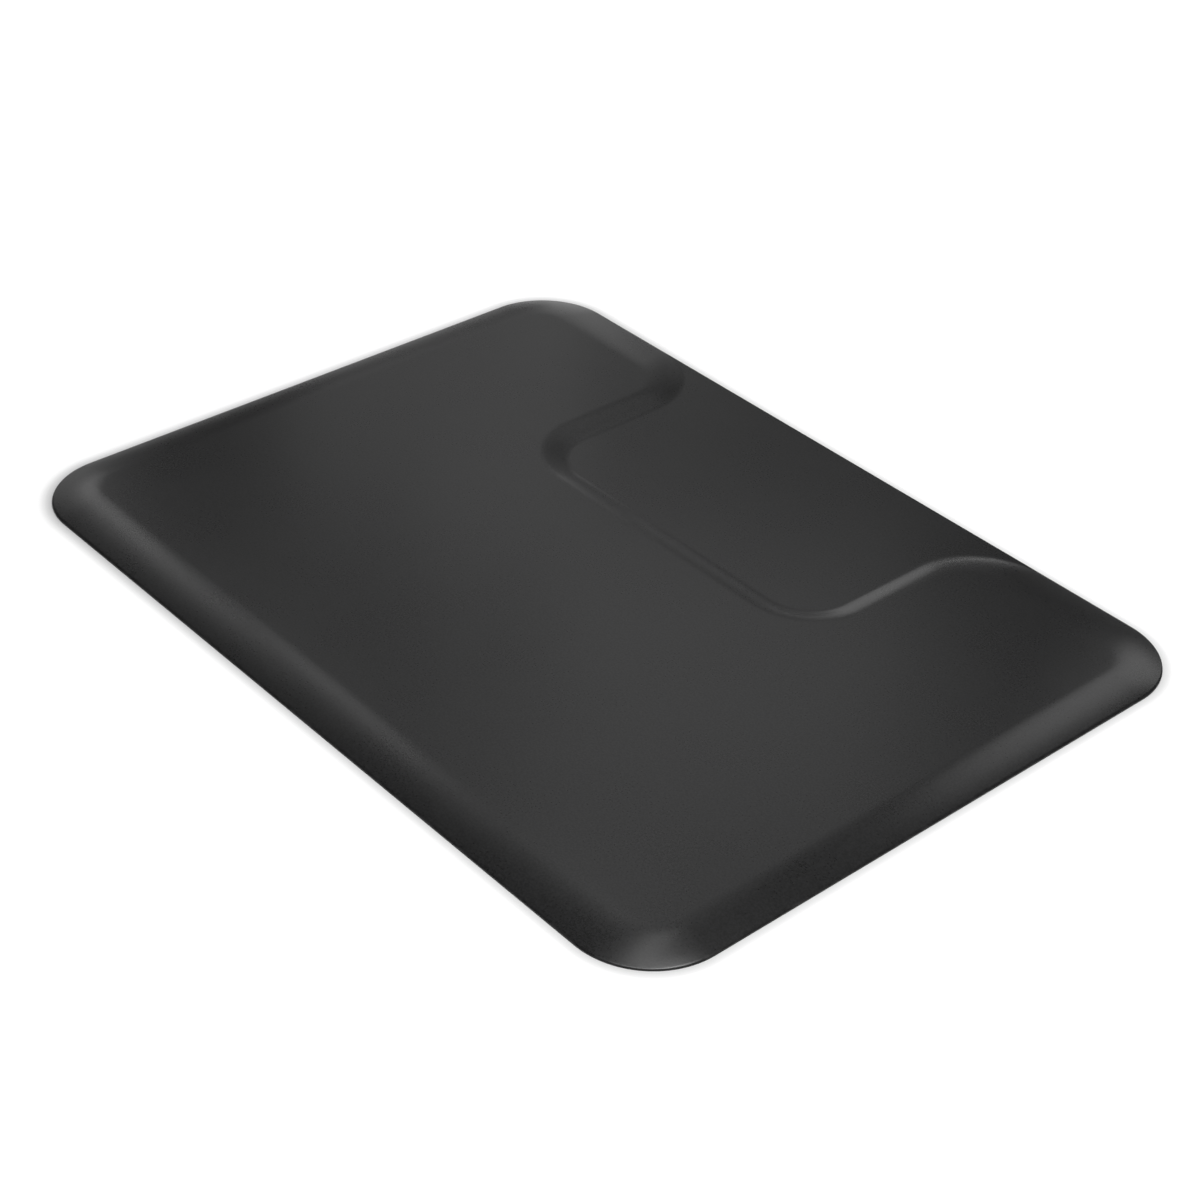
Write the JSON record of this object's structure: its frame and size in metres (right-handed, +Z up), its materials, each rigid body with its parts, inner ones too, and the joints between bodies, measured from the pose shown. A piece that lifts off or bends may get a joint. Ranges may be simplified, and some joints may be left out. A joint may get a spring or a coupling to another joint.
{
  "type": "anti-fatigue mat",
  "caption": "Rounded rectangular foam floor mat with a bevelled edge, a flat cushioned standing surface and a thin-floored recess in one long side for a chair base.",
  "frame": {"origin": "centre of the mat's footprint, on the floor", "axes": "+X along the long side, +Y across the mat towards the side with the recess, +Z up"},
  "size_m": [1.2192, 0.9144, 0.0127],
  "materials": {
    "skin": "black polyurethane skin, satin with a very fine moulded grain",
    "soft_foam": "dark grey closed-cell foam, soft",
    "firm_foam": "dark grey closed-cell foam, firm",
    "grip_sheet": "matte black rubbery sheet"
  },
  "bodies": {
    "root": {"top_skin": "skin", "comfort_foam": "soft_foam", "support_foam": "firm_foam", "base_sheet": "grip_sheet"}
  },
  "joints": []
}
